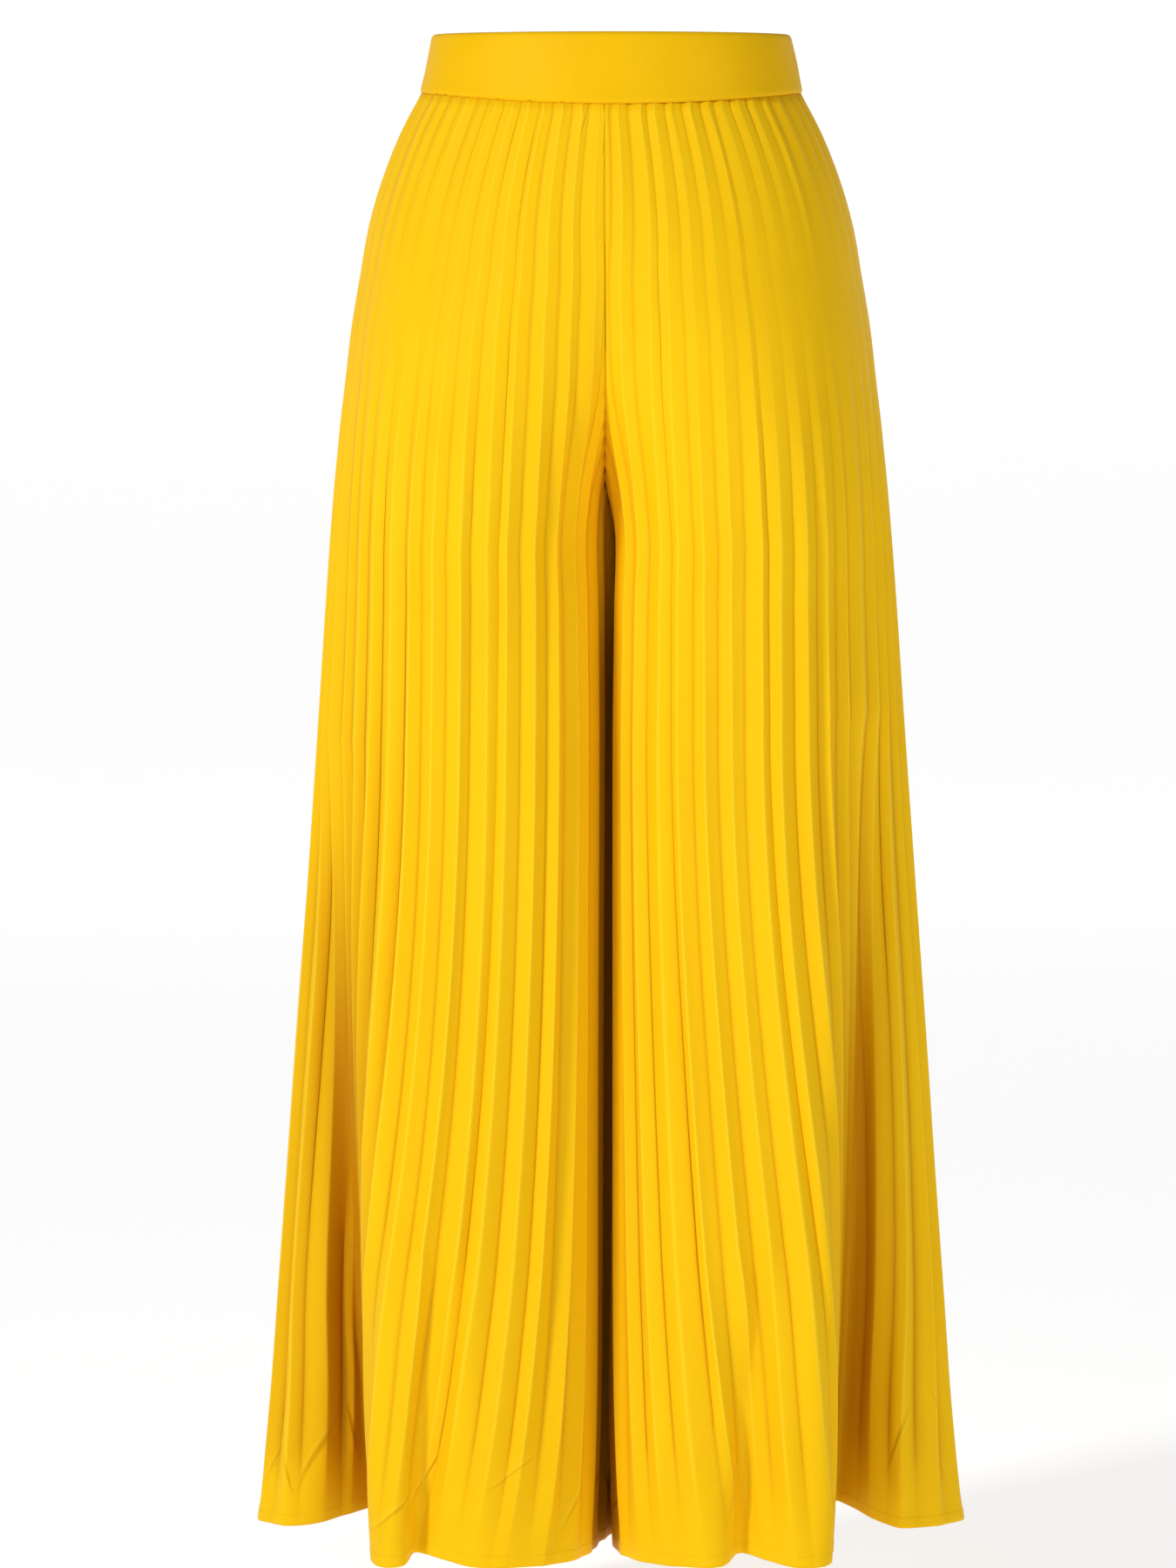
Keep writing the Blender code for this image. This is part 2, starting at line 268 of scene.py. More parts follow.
Section = namedtuple(
    "Section", "drop half_width inner front back outer_round inner_round pleat_depth"
)
SECTIONS = np.array((
    Section(0.0205, 0.1278, -0.1278, 0.0958, 0.0958, 2.00, 2.00, 0.0016),
    Section(0.0450, 0.1408, -0.1350, 0.1025, 0.1030, 2.00, 2.00, 0.0018),
    Section(0.0750, 0.1532, -0.1310, 0.1100, 0.1120, 2.00, 2.00, 0.0018),
    Section(0.1100, 0.1638, -0.1150, 0.1165, 0.1200, 2.00, 2.10, 0.0018),
    Section(0.1450, 0.1701, -0.0920, 0.1210, 0.1260, 2.00, 2.20, 0.0018),
    Section(0.1800, 0.1759, -0.0660, 0.1238, 0.1290, 2.00, 2.28, 0.0020),
    Section(0.2150, 0.1797, -0.0410, 0.1248, 0.1300, 1.98, 2.34, 0.0024),
    Section(0.2450, 0.1830, -0.0215, 0.1244, 0.1296, 1.95, 2.40, 0.0028),
    Section(0.2650, 0.1848, -0.0108, 0.1240, 0.1291, 1.92, 2.44, 0.0031),
    Section(0.2850, 0.1867, -0.0030, 0.1232, 0.1285, 1.89, 2.48, 0.0033),
    Section(0.3050, 0.1883, 0.0012, 0.1224, 0.1278, 1.86, 2.50, 0.0035),
    Section(0.3700, 0.1932, 0.0028, 0.1196, 0.1255, 1.77, 2.75, 0.0038),
    Section(0.4500, 0.1987, 0.0038, 0.1175, 0.1235, 1.70, 3.10, 0.0041),
    Section(0.5500, 0.2059, 0.0042, 0.1175, 0.1230, 1.70, 3.25, 0.0046),
    Section(0.6500, 0.2132, 0.0045, 0.1200, 0.1245, 1.78, 3.40, 0.0052),
    Section(0.7500, 0.2201, 0.0045, 0.1250, 0.1280, 1.88, 3.50, 0.0058),
    Section(0.8500, 0.2273, 0.0045, 0.1310, 0.1325, 1.98, 3.60, 0.0064),
    Section(0.9200, 0.2327, 0.0048, 0.1360, 0.1362, 2.00, 3.65, 0.0062),
    Section(0.9750, 0.2395, 0.0050, 0.1390, 0.1390, 2.00, 3.70, 0.0040),
    Section(1.0130, 0.2453, 0.0050, 0.1400, 0.1400, 2.00, 3.70, 0.0012),
))
TOP, CROTCH, WAIST_HALF = 0.0205, 0.3050, 0.1278

Fold = namedtuple("Fold", "leg face across start depth width lean set_back lift")
FOLDS = (
    Fold(LEFT, FRONT, 0.184, 0.46, 0.044, 0.017, 0.62, 0.60, 0.008),
    Fold(LEFT, FRONT, 0.112, 0.80, 0.026, 0.016, -0.60, 0.00, 0.006),
    Fold(RIGHT, FRONT, 0.177, 0.44, 0.048, 0.016, 0.38, 0.60, 0.013),
    Fold(RIGHT, FRONT, 0.104, 0.80, 0.024, 0.016, 0.50, 0.00, 0.006),
    Fold(LEFT, BACK, 0.174, 0.48, 0.040, 0.018, 0.55, 0.56, 0.008),
    Fold(LEFT, BACK, 0.078, 0.76, 0.028, 0.018, 0.40, 0.00, 0.006),
    Fold(RIGHT, BACK, 0.178, 0.46, 0.040, 0.018, 0.50, 0.56, 0.008),
    Fold(RIGHT, BACK, 0.092, 0.78, 0.026, 0.018, 0.40, 0.00, 0.006),
)
FOLD_GROWTH, TROUGH_GROWTH, FOLD_ROOM, FOLD_CALM = 1.25, 0.65, 0.050, 0.65
SET_BACK_WIDTH, SET_BACK_FROM = 0.030, 0.010
SIDE_LIFT, LIFT_FROM = 0.0075, 0.80
BAND_DIP, DIP_ENDS = 0.0080, 0.15
BOW, BOW_FROM, BOW_FADE, BOW_DEPTH, BOW_WIDTH = 0.0150, 0.265, 0.065, 0.036, 0.035

# the pleats are smoother on the hips and along the centre seam, and deeper on the outer sides
HIP_PLEAT, HIP_SPREAD = 6.0, {LEFT: 4.5, RIGHT: 7.0}
HIP_DROP, HIP_HEIGHT = 0.160, {LEFT: 0.085, RIGHT: 0.110}
HIP_SMOOTH = {LEFT: 0.90, RIGHT: 0.94}
DEEPER = {LEFT: 0.50, RIGHT: 0.20}
DEEPER_PLEAT, DEEPER_SPREAD = 4.0, 4.5
DEEPER_FROM, DEEPER_FADE = 0.38, 0.20
SEAM_FLAT, SEAM_FLAT_TO, SEAM_FLAT_FADE = 0.012, 0.32, 0.15
TURN_LIMIT, LEAST_BEND = 0.20, 1.0

# how fast the pleats' unevenness changes along the row and down the leg, and its reach
Drift = namedtuple("Drift", "along down reach")
WIDTH_DRIFT = Drift(1.9, 1.0, 0.18)
DEPTH_DRIFT = Drift(2.7, 3.1, 0.25)
GATHER_DRIFT = Drift(9.7, 0.0, 1.0)
DRIFT_PACES, DRIFT_TURN, DRIFT_ENDS = (1.0, 1.73, 2.61), 6.28, 1.5
GATHER_DEPTH, GATHER_FADE = 0.0005, 0.022
TURNED_HEM, TURNED_FADE, TURNED_RISE = 0.009, 0.0015, 0.0003
CRISP, SOFT, SOFT_FROM = 0.9996, 0.95, 0.93

# painted shade where the cloth lies close against itself: the grooves of the outer pleats and
# one flank of each pleat on the outer lobe, between two heights and up to a pleat, and the inseams
Area = namedtuple("Area", "pleat pleat_fade drop drop_fade hem hem_fade hem_share")
SIDE_AREA = Area(9, 4, 0.30, 0.25, 0.94, 0.05, 0.8)
LOBE_AREA = Area(7.5, 2.5, 0.40, 0.25, 0.95, 0.04, 0.9)
SIDE_SHADE, LOBE_SHADE = {LEFT: 0.48, RIGHT: 0.60}, {LEFT: 0.28, RIGHT: 0.08}
SIDE_CURVE, FLANK_SHARE, FLANK_WIDTH, FLANK_FROM = 5, 0.3, 0.3, 3.5
FOLD_SHADE, FOLD_CURVE, FOLD_PLEAT, FOLD_FADE = {LEFT: 0.82, RIGHT: 0.70}, 1.3, 10.5, 3
INSEAM_PLEAT, INSEAM_PLEAT_FADE, INSEAM_DROP, INSEAM_FADE = 16.0, 1.6, 0.33, 0.10

# points across one pleat: close together at the ridge and in the valley
ACROSS_PLEAT = (0.0, 0.02, 0.08, 0.25, 0.42, 0.48, 0.50, 0.52, 0.58, 0.75, 0.92, 0.98)
ROWS_DOWN, ROWS_HEM, HEM_FROM = 84, 64, 0.90
SAMPLES, SMOOTHING = 1200, 31
TUCK, TUCK_IN, TUCK_BELOW = 0.0025, 0.0012, 0.0005
SHELL = 0.0008


def at_height(drop):
    """The section at any height, on smooth curves through the rows."""
    drops = SECTIONS[:, 0]
    k = int(np.clip(np.searchsorted(drops, drop) - 1, 0, len(drops) - 2))
    slopes = np.gradient(SECTIONS, drops, axis=0)
    step = drops[k + 1] - drops[k]
    t = np.clip((drop - drops[k]) / step, 0, 1)
    value = (
        (2 * t**3 - 3 * t**2 + 1) * SECTIONS[k]
        + (t**3 - 2 * t**2 + t) * step * slopes[k]
        + (3 * t**2 - 2 * t**3) * SECTIONS[k + 1]
        + (t**3 - t**2) * step * slopes[k + 1]
    )
    return Section(*value)._replace(drop=drop)


def smooth_step(value):
    value = np.clip(value, 0.0, 1.0)
    return value * value * (3.0 - 2.0 * value)


def ring(leg, face, section):
    """Half of a leg's plan outline, from the side seam round to the inseam."""
    outer = section.half_width - leg * SEAM_X
    middle = (outer + section.inner) / 2
    half = (outer - section.inner) / 2
    depth = section.front if face == FRONT else section.back
    turn = np.linspace(0.0, np.pi, SAMPLES)
    power = np.where(turn < np.pi / 2, 2 / section.outer_round, 2 / section.inner_round)
    across = middle + half * np.sign(np.cos(turn)) * np.abs(np.cos(turn)) ** power
    out = depth * np.abs(np.sin(turn)) ** power
    return across, out


def folded(leg, face, section):
    """The ring with its deep folds pushed in, the lift of the hem and the share of the pleats'
    depth that is left in the folds.
    """
    across, out = ring(leg, face, section)
    way_down = smooth_step((section.drop - LIFT_FROM) / (HEM - LIFT_FROM))
    moved_across, moved_out = across.copy(), out.copy()
    lift, calm = np.zeros(len(across)), np.ones(len(across))
    for fold in FOLDS:
        if (fold.leg, fold.face) != (leg, face) or section.drop <= fold.start:
            continue
        share = (section.drop - fold.start) / (HEM - fold.start)
        grown, deeper = share**FOLD_GROWTH, share**TROUGH_GROWTH
        beyond = smooth_step((across - fold.across + SET_BACK_FROM) / SET_BACK_WIDTH + 0.5)
        trough = np.exp(-(((across - fold.across) / fold.width) ** 2))
        trough *= smooth_step(out / FOLD_ROOM)
        moved_out -= out * fold.set_back * grown * beyond
        moved_out -= fold.depth * deeper * trough
        moved_across -= fold.depth * fold.lean * grown * trough
        lift += way_down * (SIDE_LIFT * beyond * (fold.set_back > 0) + fold.lift * trough)
        calm *= 1 - FOLD_CALM * smooth_step(2 * share) * trough
    return moved_across, moved_out, lift, calm


def length_along(across, out):
    steps = np.hypot(np.diff(across), np.diff(out))
    return np.concatenate(([0.0], np.cumsum(steps)))


def pleat_pitch(leg, face, section):
    """Even round the leg below the crotch. Above it, closer up to the waist."""
    rise = max(0.0, (CROTCH - section.drop) / (CROTCH - TOP))
    full = section if rise == 0 else at_height(CROTCH)
    across, out = folded(leg, face, full)[:2]
    return length_along(across, out)[-1] / PLEATS * (1 - WAIST_CLOSER * rise**RISE_CURVE)


def wander(drift, pleat, drop, phases):
    """A slow uneven wave from pleat to pleat and down the leg, from a few sines."""
    value = pleat * drift.along + drop * drift.down
    total = sum(np.sin(value * pace + phase) for pace, phase in phases[drift])
    return drift.reach * total / len(phases[drift])


Spots = namedtuple("Spots", "across out normal_across normal_out bend lift calm")


def spots_along(leg, face, section, pleat, phases):
    """The folded ring, not yet pleated, at each place that is counted in pleats."""
    across, out, lift, calm = folded(leg, face, section)
    along = length_along(across, out)
    even = np.linspace(0.0, along[-1], SAMPLES)
    across, out, lift, calm = (
        np.interp(even, along, value) for value in (across, out, lift, calm)
    )
    tangent_x, tangent_y = np.gradient(across, even), np.gradient(out, even)
    length = np.hypot(tangent_x, tangent_y)
    bend = np.abs(np.gradient(np.unwrap(np.arctan2(tangent_y, tangent_x)), even))
    bend = np.pad(bend, SMOOTHING // 2, mode="edge")
    bend = np.convolve(bend, np.ones(SMOOTHING) / SMOOTHING, mode="valid")

    # uneven pleat widths, which wander a little on their way down
    ends = np.clip(np.minimum(pleat, PLEATS - pleat) / DRIFT_ENDS, 0, 1)
    drift = wander(WIDTH_DRIFT, pleat, section.drop, phases) * ends
    place = np.clip((pleat + drift) * pleat_pitch(leg, face, section), 0, along[-1])
    values = (across, out, tangent_y / length, -tangent_x / length, bend, lift, calm)
    return Spots(*(np.interp(place, even, value) for value in values))


def pleated(leg, section, pleat, spots, pressed, phases):
    """How far the pleated cloth stands out from the ring at each spot."""
    below = smooth_step((section.drop - DEEPER_FROM) / DEEPER_FADE)
    outer = np.exp(-(((pleat - DEEPER_PLEAT) / DEEPER_SPREAD) ** 2))
    depth = section.pleat_depth * pressed * (1 + DEEPER[leg] * below * outer)
    from_seam = smooth_step(np.abs(spots.across) / SEAM_FLAT)
    released = smooth_step((section.drop - SEAM_FLAT_TO) / SEAM_FLAT_FADE)
    depth = depth * (1 - (1 - released) * (1 - from_seam)) * spots.calm
    depth = np.minimum(depth, TURN_LIMIT / np.maximum(spots.bend, LEAST_BEND))
    crisp = CRISP + (SOFT - CRISP) * smooth_step((section.drop - SOFT_FROM) / (HEM - SOFT_FROM))
    rise = np.arcsin(crisp * np.sin(2 * np.pi * (pleat - 0.25))) / np.arcsin(crisp)
    taller = wander(DEPTH_DRIFT, np.floor(pleat), section.drop, phases)
    shift = (rise + (rise + 1) * taller) * depth / 2

    # short gathers under the band, the raised edge of the turned-up hem, and the tuck
    # of the upper edge into the band
    gather = np.exp(-((section.drop - TOP) / GATHER_FADE) ** 2)
    shift += GATHER_DEPTH * gather * wander(GATHER_DRIFT, pleat, section.drop, phases)
    shift += TURNED_RISE * smooth_step((section.drop - (HEM - TURNED_HEM)) / TURNED_FADE)
    return shift - TUCK_IN * smooth_step((TOP + TUCK_BELOW - section.drop) / TUCK)


def within(area, pleat, drop):
    """1 inside an area at the side of a leg, falling smoothly to 0 round it."""
    share = smooth_step((area.pleat - pleat) / area.pleat_fade)
    share *= smooth_step((drop - area.drop) / area.drop_fade)
    return share * (1 - area.hem_share * smooth_step((drop - area.hem) / area.hem_fade))


def painted_shade_share(leg, drop, pleat, calm):
    """How much painted shade the cloth gets where it lies close against itself, in one row."""
    from_ridge = 2 * np.abs(pleat % 1 - 0.5)
    flank = np.clip(1 - np.abs(from_ridge - 0.5) / FLANK_WIDTH, 0, 1) * (pleat > FLANK_FROM)
    groove_shade = from_ridge**SIDE_CURVE + FLANK_SHARE * flank
    shaded_flank = leg * (pleat % 1 - 0.5) < 0
    in_fold = (1 - calm) / FOLD_CALM * smooth_step((FOLD_PLEAT - pleat) / FOLD_FADE)
    inseam = smooth_step((pleat - INSEAM_PLEAT) / INSEAM_PLEAT_FADE)
    inseam *= smooth_step((drop - INSEAM_DROP) / INSEAM_FADE)
    shade_share = FOLD_SHADE[leg] * in_fold**FOLD_CURVE + inseam
    shade_share += SIDE_SHADE[leg] * within(SIDE_AREA, pleat, drop) * groove_shade
    return shade_share + LOBE_SHADE[leg] * within(LOBE_AREA, pleat, drop) * shaded_flank


def panel_row(leg, face, section, pleat, phases):
    """World x and y, lift, the share of painted shade where the cloth lies close, and how sharply
    it is pressed, in one row.
    """
    spots = spots_along(leg, face, section, pleat, phases)
    from_hip = (section.drop - HIP_DROP) / HIP_HEIGHT[leg]
    near_hip = np.exp(-(((pleat - HIP_PLEAT) / HIP_SPREAD[leg]) ** 2) - from_hip**2)
    pressed = 1 - HIP_SMOOTH[leg] * near_hip
    shift = pleated(leg, section, pleat, spots, pressed, phases)
    x = spots.across + spots.normal_across * shift
    y = spots.out + spots.normal_out * shift
    shade_share = painted_shade_share(leg, section.drop, pleat, spots.calm)
    return SEAM_X + leg * x, face * y, spots.lift, shade_share, pressed


def bowed(spot):
    """How far the inner sides of the legs lean to the right at a point."""
    down = smooth_step((-spot.z - BOW_FROM) / BOW_FADE)
    near = np.exp(-((spot.y / BOW_DEPTH) ** 2) - ((spot.x - SEAM_X) / BOW_WIDTH) ** 2)
    return BOW * float(down * near)


def band_dip(x):
    """How far the band's seam dips at x: most in the middle of the front and the back."""
    return BAND_DIP * (1 - min(abs(x) / WAIST_HALF, 1) ** 2)


def leg_panel(name, leg, face, material, seed):
    """A fine grid laid on the pleated form, cut down the rise by the centre seam."""
    chance = np.random.default_rng(seed)
    phases = {
        drift: [(pace, chance.uniform(0, DRIFT_TURN)) for pace in DRIFT_PACES]
        for drift in (WIDTH_DRIFT, DEPTH_DRIFT, GATHER_DRIFT)
    }
    pleat = [whole + part for whole in range(PLEATS) for part in ACROSS_PLEAT]
    pleat = np.array(pleat + [PLEATS])
    upper = np.linspace(TOP - TUCK, HEM_FROM, ROWS_DOWN, endpoint=False)
    drops = np.concatenate((upper, np.linspace(HEM_FROM, HEM, ROWS_HEM)))
    columns, rows = len(pleat) - 1, len(drops) - 1
    table = [panel_row(leg, face, at_height(drop), pleat, phases) for drop in drops]

    mesh = bmesh.new()
    bmesh.ops.create_grid(mesh, x_segments=columns, y_segments=rows, size=0.5)
    layer = mesh.loops.layers.uv.new("cloth")
    # per vertex: the share of painted shade, and how sharply the pleats are pressed
    painted_fold_shade = mesh.verts.layers.float.new("folded")
    sharp = mesh.verts.layers.float.new("pressed")
    for polygon in mesh.faces:
        for corner in polygon.loops:
            column = round((corner.vert.co.x + 0.5) * columns)
            row = round((corner.vert.co.y + 0.5) * rows)
            corner[layer].uv = (pleat[column] * PLEAT_CLOTH, HEM - drops[row])
    for vertex in mesh.verts:
        column = round((vertex.co.x + 0.5) * columns)
        row = round((vertex.co.y + 0.5) * rows)
        x, y, lift, shade_share, pressed = (value[column] for value in table[row])
        vertex[painted_fold_shade], vertex[sharp] = shade_share, pressed
        share = np.clip(1 - (drops[row] - TOP) / DIP_ENDS, 0, 1)
        vertex.co = (x, y, lift - drops[row] - band_dip(x) * share)
    bmesh.ops.bisect_plane(
        mesh, geom=mesh.verts[:] + mesh.edges[:] + mesh.faces[:], dist=1e-6,
        plane_co=(SEAM_X + leg * SEAM_GAP, 0, 0), plane_no=(-leg, 0, 0), clear_outer=True,
    )
    if leg * face < 0:
        bmesh.ops.reverse_faces(mesh, faces=mesh.faces)
    for vertex in mesh.verts:
        vertex.co.x += bowed(vertex.co)
    for polygon in mesh.faces:
        polygon.smooth = True
    data = bpy.data.meshes.new(name)
    mesh.to_mesh(data)
    mesh.free()
    data.materials.append(material)
    panel = bpy.data.objects.new(name, data)
    bpy.context.collection.objects.link(panel)
    shell = panel.modifiers.new("cloth", "SOLIDIFY")
    shell.thickness = SHELL
    shell.offset = -1
    return panel


# Creases near the hem, where the pleats have been bent, and a few short ones under the band, each
# with a painted shade line and a painted highlight line beside its step.
# pleat and drop give the middle, slant is in degrees from upright, and depth is how far one
# side stands over the other.
Crease = namedtuple("Crease", "leg face pleat drop length width slant depth")
CREASES = (
    Crease(LEFT, FRONT, 0.9, 0.962, 0.050, 0.0030, 24, 0.0016),
    Crease(LEFT, FRONT, 1.5, 0.976, 0.034, 0.0025, -18, 0.0012),
    Crease(LEFT, FRONT, 2.3, 0.960, 0.064, 0.0032, 22, 0.0022),
    Crease(LEFT, FRONT, 3.4, 0.950, 0.058, 0.0032, -16, 0.0020),
    Crease(LEFT, FRONT, 4.2, 0.962, 0.055, 0.0030, 20, 0.0018),
    Crease(LEFT, FRONT, 8.2, 0.975, 0.046, 0.0030, 16, 0.0014),
    Crease(LEFT, FRONT, 9.4, 0.976, 0.062, 0.0034, 52, 0.0020),
    Crease(LEFT, FRONT, 10.6, 0.955, 0.070, 0.0034, 34, 0.0020),
    Crease(LEFT, FRONT, 13.2, 0.948, 0.048, 0.0026, 56, 0.0010),
    Crease(LEFT, FRONT, 15.4, 0.972, 0.044, 0.0028, 24, 0.0012),
    Crease(LEFT, FRONT, 17.3, 0.966, 0.058, 0.0032, 26, 0.0020),
    Crease(LEFT, FRONT, 18.4, 0.975, 0.040, 0.0026, -20, 0.0014),
    Crease(LEFT, FRONT, 13.7, 0.033, 0.022, 0.0022, 24, 0.0010),
    Crease(LEFT, FRONT, 15.2, 0.036, 0.028, 0.0024, 16, 0.0012),
    Crease(LEFT, FRONT, 16.9, 0.034, 0.024, 0.0022, -14, 0.0010),
    Crease(LEFT, FRONT, 18.3, 0.038, 0.030, 0.0024, 12, 0.0012),
    Crease(RIGHT, FRONT, 17.4, 0.035, 0.024, 0.0022, -12, 0.0010),
    Crease(RIGHT, FRONT, 1.2, 0.948, 0.085, 0.0030, 15, 0.0018),
    Crease(RIGHT, FRONT, 2.6, 0.950, 0.070, 0.0030, -22, 0.0014),
    Crease(RIGHT, FRONT, 6.9, 0.982, 0.048, 0.0030, -36, 0.0018),
    Crease(RIGHT, FRONT, 8.6, 0.976, 0.050, 0.0030, -46, 0.0016),
    Crease(RIGHT, FRONT, 12.4, 0.966, 0.050, 0.0030, -30, 0.0014),
    Crease(RIGHT, FRONT, 16.9, 0.976, 0.045, 0.0028, -42, 0.0018),
    Crease(RIGHT, FRONT, 18.2, 0.970, 0.040, 0.0026, 30, 0.0014),
    Crease(LEFT, BACK, 1.4, 0.955, 0.060, 0.0030, 26, 0.0018),
    Crease(LEFT, BACK, 3.2, 0.962, 0.055, 0.0032, -22, 0.0020),
    Crease(LEFT, BACK, 8.8, 0.974, 0.060, 0.0032, -40, 0.0018),
    Crease(LEFT, BACK, 12.1, 0.956, 0.050, 0.0028, 44, 0.0012),
    Crease(LEFT, BACK, 16.8, 0.970, 0.060, 0.0032, -26, 0.0018),
    Crease(RIGHT, BACK, 1.7, 0.958, 0.060, 0.0030, -24, 0.0020),
    Crease(RIGHT, BACK, 4.1, 0.965, 0.055, 0.0032, 22, 0.0018),
    Crease(RIGHT, BACK, 8.2, 0.976, 0.060, 0.0032, 38, 0.0018),
    Crease(RIGHT, BACK, 11.6, 0.960, 0.055, 0.0028, -44, 0.0012),
    Crease(RIGHT, BACK, 17.1, 0.966, 0.060, 0.0032, 28, 0.0018),
)
PANELS = (
    ("left_front_cloth", "left_front_leg", LEFT, FRONT, 11),
    ("right_front_cloth", "right_front_leg", RIGHT, FRONT, 23),
    ("left_back_cloth", "left_back_leg", LEFT, BACK, 37),
    ("right_back_cloth", "right_back_leg", RIGHT, BACK, 41),
)
for name, node, leg, face, seed in PANELS:
    creases = [crease for crease in CREASES if (crease.leg, crease.face) == (leg, face)]
    pleated_cloth = polyester(
        name + "_polyester", CLOTH_YELLOW, LEG_SHADE, PLEAT_CLOTH, HEM_STITCH, creases
    )
    panel = leg_panel(name, leg, face, pleated_cloth, seed)
    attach(panel, "root")
    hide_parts(node)


# ---------------------------------------------------------------- waistband
# A plain strip of the same polyester, folded double over wide elastic and sewn to the tops of
# the legs. It is stretched smooth, with a rounded fold at the top and a shallow dip in front.

BAND_YELLOW = (0.835, 0.475, 0.002, 1)
BAND_SHADE = 0.2
BAND_TOP, BAND_LOW = 0.0172, 0.0198
BAND_LEVELS = (0, 0.46, 1)
BAND_WIDTHS = (0.1208, 0.1245, 0.1287)
BAND_DEPTHS = (0.0905, 0.0935, 0.0970)
BAND_ROUND = 0.0011
BAND_SHELL = 0.0018
BAND_CLOTH = 0.36
BAND_COLUMNS, BAND_ROWS = 120, 22
SIDE_GAP = 0.001
BAND_DIP_FROM = 0.25

Ripple = namedtuple("Ripple", "height pace slant phase")
RIPPLES = (Ripple(0.00025, 7.3, 2.4, 0), Ripple(0.0002, 13.1, 0, 1))


def waistband(name, face, material):
    """A grid bent round half of the waist, with its rows closer together near both edges,
    where the band rounds over.
    """
    mesh = bmesh.new()
    bmesh.ops.create_grid(mesh, x_segments=BAND_COLUMNS, y_segments=BAND_ROWS, size=0.5)
    layer = mesh.loops.layers.uv.new("cloth")
    height = BAND_TOP + BAND_LOW
    for polygon in mesh.faces:
        polygon.smooth = True
        for corner in polygon.loops:
            spot = corner.vert.co
            corner[layer].uv = ((spot.x + 0.5) * BAND_CLOTH, (0.5 - spot.y) * height)
    for vertex in mesh.verts:
        down = (1 - math.cos(math.pi * (vertex.co.y + 0.5))) / 2
        width = float(np.interp(down, BAND_LEVELS, BAND_WIDTHS))
        depth = float(np.interp(down, BAND_LEVELS, BAND_DEPTHS))
        edge = min(down, 1 - down) * height
        inset = 0.0
        if edge < BAND_ROUND:
            inset = BAND_ROUND - math.sqrt(BAND_ROUND**2 - (BAND_ROUND - edge) ** 2)
        turn = SIDE_GAP + (vertex.co.x + 0.5) * (math.pi - 2 * SIDE_GAP)
        inset += math.sin(math.pi * down) * sum(
            wave.height * math.sin(turn * wave.pace + down * wave.slant + wave.phase)
            for wave in RIPPLES
        )
        x = -(width - inset) * math.cos(turn)
        y = face * (depth - inset) * math.sin(turn)
        lower = float(smooth_step((down - BAND_DIP_FROM) / (1 - BAND_DIP_FROM)))
        vertex.co = (x, y, BAND_TOP - down * height - band_dip(x) * lower)
    if face == BACK:
        bmesh.ops.reverse_faces(mesh, faces=mesh.faces)
    data = bpy.data.meshes.new(name)
    mesh.to_mesh(data)
    mesh.free()
    data.materials.append(material)
    band = bpy.data.objects.new(name, data)
    bpy.context.collection.objects.link(band)
    shell = band.modifiers.new("doubled cloth", "SOLIDIFY")
    shell.thickness = BAND_SHELL
    shell.offset = -1
    return band


band_cloth = polyester("band_polyester", BAND_YELLOW, BAND_SHADE)
for name, node, face in (
    ("band_front_cloth", "waistband_front", FRONT),
    ("band_back_cloth", "waistband_back", BACK),
):
    band = waistband(name, face, band_cloth)
    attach(band, "root")
    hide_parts(node)


# ---------------------------------------------------------------- backdrop
# A near-white paper sweep that glows a little, so that it looks evenly lit: the floor curves
# up into a wall well behind the trousers.

PAPER_WHITE = (0.75, 0.75, 0.75, 1)
PAPER_GLOW, PAPER_ROUGH, PAPER_SHINE = 0.60, 0.95, 0.1
FLOOR_Z = -1.10
SWEEP_BACK, SWEEP_FRONT, SWEEP_SIDE, SWEEP_TOP = 7.0, -9.0, 8.0, 5.0
SWEEP_ROUND, SWEEP_STEPS = 1.4, 24

sweep = bmesh.new()
start = sweep.verts.new((-SWEEP_SIDE, SWEEP_FRONT, FLOOR_Z))
corner = sweep.verts.new((-SWEEP_SIDE, SWEEP_BACK - SWEEP_ROUND, FLOOR_Z))
sweep.edges.new((start, corner))
bmesh.ops.spin(
    sweep, geom=[corner], cent=(0, SWEEP_BACK - SWEEP_ROUND, FLOOR_Z + SWEEP_ROUND),
    axis=(1, 0, 0), angle=math.pi / 2, steps=SWEEP_STEPS,
)
last = max(sweep.verts, key=lambda vertex: (vertex.co.z, vertex.co.y))
top = sweep.verts.new((-SWEEP_SIDE, SWEEP_BACK, SWEEP_TOP))
sweep.edges.new((last, top))
sides = bmesh.ops.extrude_edge_only(sweep, edges=sweep.edges[:])["geom"]
moved = [item for item in sides if isinstance(item, bmesh.types.BMVert)]
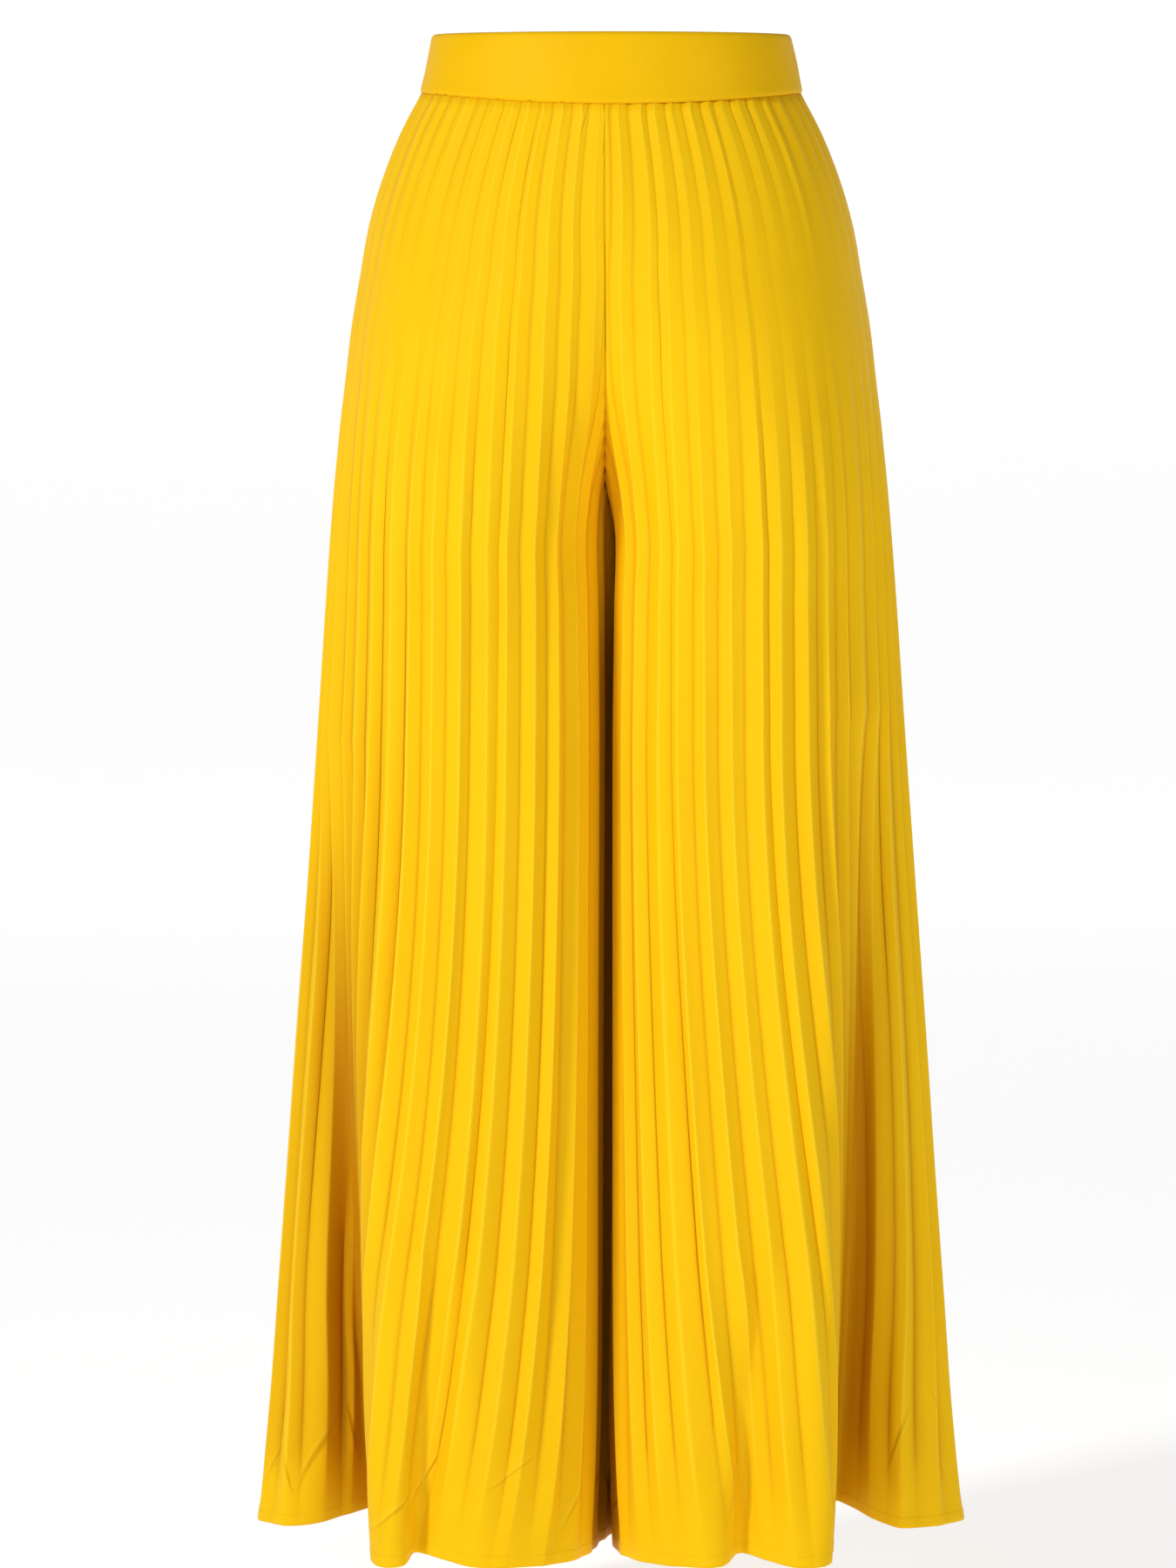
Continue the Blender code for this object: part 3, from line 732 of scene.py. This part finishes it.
bmesh.ops.translate(sweep, verts=moved, vec=(2 * SWEEP_SIDE, 0, 0))
bmesh.ops.recalc_face_normals(sweep, faces=sweep.faces)
for polygon in sweep.faces:
    polygon.smooth = True
paper = bpy.data.materials.new("paper")
paper.use_nodes = True
paper_surface = paper.node_tree.nodes["Principled BSDF"]
paper_surface.inputs["Base Color"].default_value = PAPER_WHITE
paper_surface.inputs["Roughness"].default_value = PAPER_ROUGH
paper_surface.inputs["Specular IOR Level"].default_value = PAPER_SHINE
paper_surface.inputs["Emission Color"].default_value = (1, 1, 1, 1)
paper_surface.inputs["Emission Strength"].default_value = PAPER_GLOW
floor_data = bpy.data.meshes.new("floor")
sweep.to_mesh(floor_data)
sweep.free()
floor_data.materials.append(paper)
floor = bpy.data.objects.new("floor", floor_data)
bpy.context.collection.objects.link(floor)


# ---------------------------------------------------------------- light
# A small key light high on the left, which shows the pleats, a wide soft fill on the right,
# and a dim white surround.

KEY_PLACE, KEY_SIZE, KEY_POWER = (-2.6, -2.6, 1.4), 0.5, 90
FILL_PLACE, FILL_SIZE, FILL_POWER = (2.4, -3.4, 0.4), 3.0, 42
LIGHT_AIM = (0, 0, -0.5)
SURROUND = 0.22


def soft_box(name, place, size, power):
    """A square studio light aimed at the middle of the trousers."""
    lamp = bpy.data.objects.new(name, bpy.data.lights.new(name, "AREA"))
    lamp.data.shape = "SQUARE"
    lamp.data.size = size
    lamp.data.energy = power
    lamp.location = place
    aim = Vector(LIGHT_AIM) - lamp.location
    lamp.rotation_euler = aim.to_track_quat("-Z", "Y").to_euler()
    bpy.context.collection.objects.link(lamp)


soft_box("key", KEY_PLACE, KEY_SIZE, KEY_POWER)
soft_box("fill", FILL_PLACE, FILL_SIZE, FILL_POWER)

world = bpy.data.worlds.new("studio")
world.use_nodes = True
world.node_tree.nodes["Background"].inputs["Color"].default_value = (1, 1, 1, 1)
world.node_tree.nodes["Background"].inputs["Strength"].default_value = SURROUND
bpy.context.scene.world = world
bpy.context.scene.view_settings.view_transform = "Standard"
